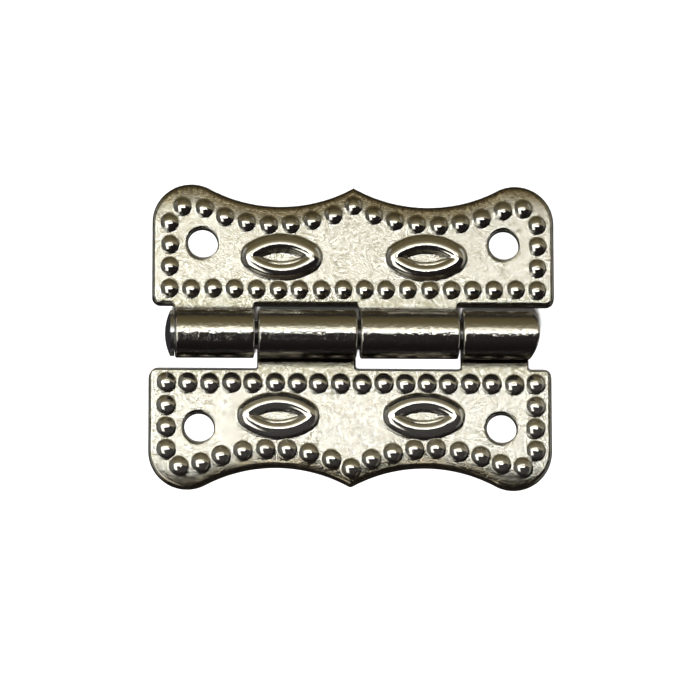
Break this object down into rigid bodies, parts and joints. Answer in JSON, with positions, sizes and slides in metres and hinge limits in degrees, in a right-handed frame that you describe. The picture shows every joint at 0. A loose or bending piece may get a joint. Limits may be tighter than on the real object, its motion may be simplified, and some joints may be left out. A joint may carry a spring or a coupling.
{
  "type": "decorative box hinge",
  "caption": "Small stamped decorative hinge with scalloped leaves, embossed bead borders, eye-shaped rings, rolled knuckles and a headed pin, for box and cabinet lids.",
  "frame": {"origin": "on the flat back, under the middle of the pin, with the hinge open and flat", "axes": "+X along the pin away from its head, +Y towards the upper leaf, +Z out of the decorated faces"},
  "size_m": [0.0384, 0.029, 0.0046],
  "materials": {
    "leaf_metal": "satin nickel plating with a warm tone over stamped steel",
    "pin_metal": "dark polished steel"
  },
  "bodies": {
    "lower": {"lower_leaf": "leaf_metal"},
    "upper": {"upper_leaf": "leaf_metal", "hinge_pin": "pin_metal"}
  },
  "joints": [
    {"name": "leaf_fold", "type": "hinge", "parent": "lower", "child": "upper", "pos_m": [0, 0, 0.0023], "axis": [1, 0, 0], "range_deg": [-100, 180]}
  ]
}
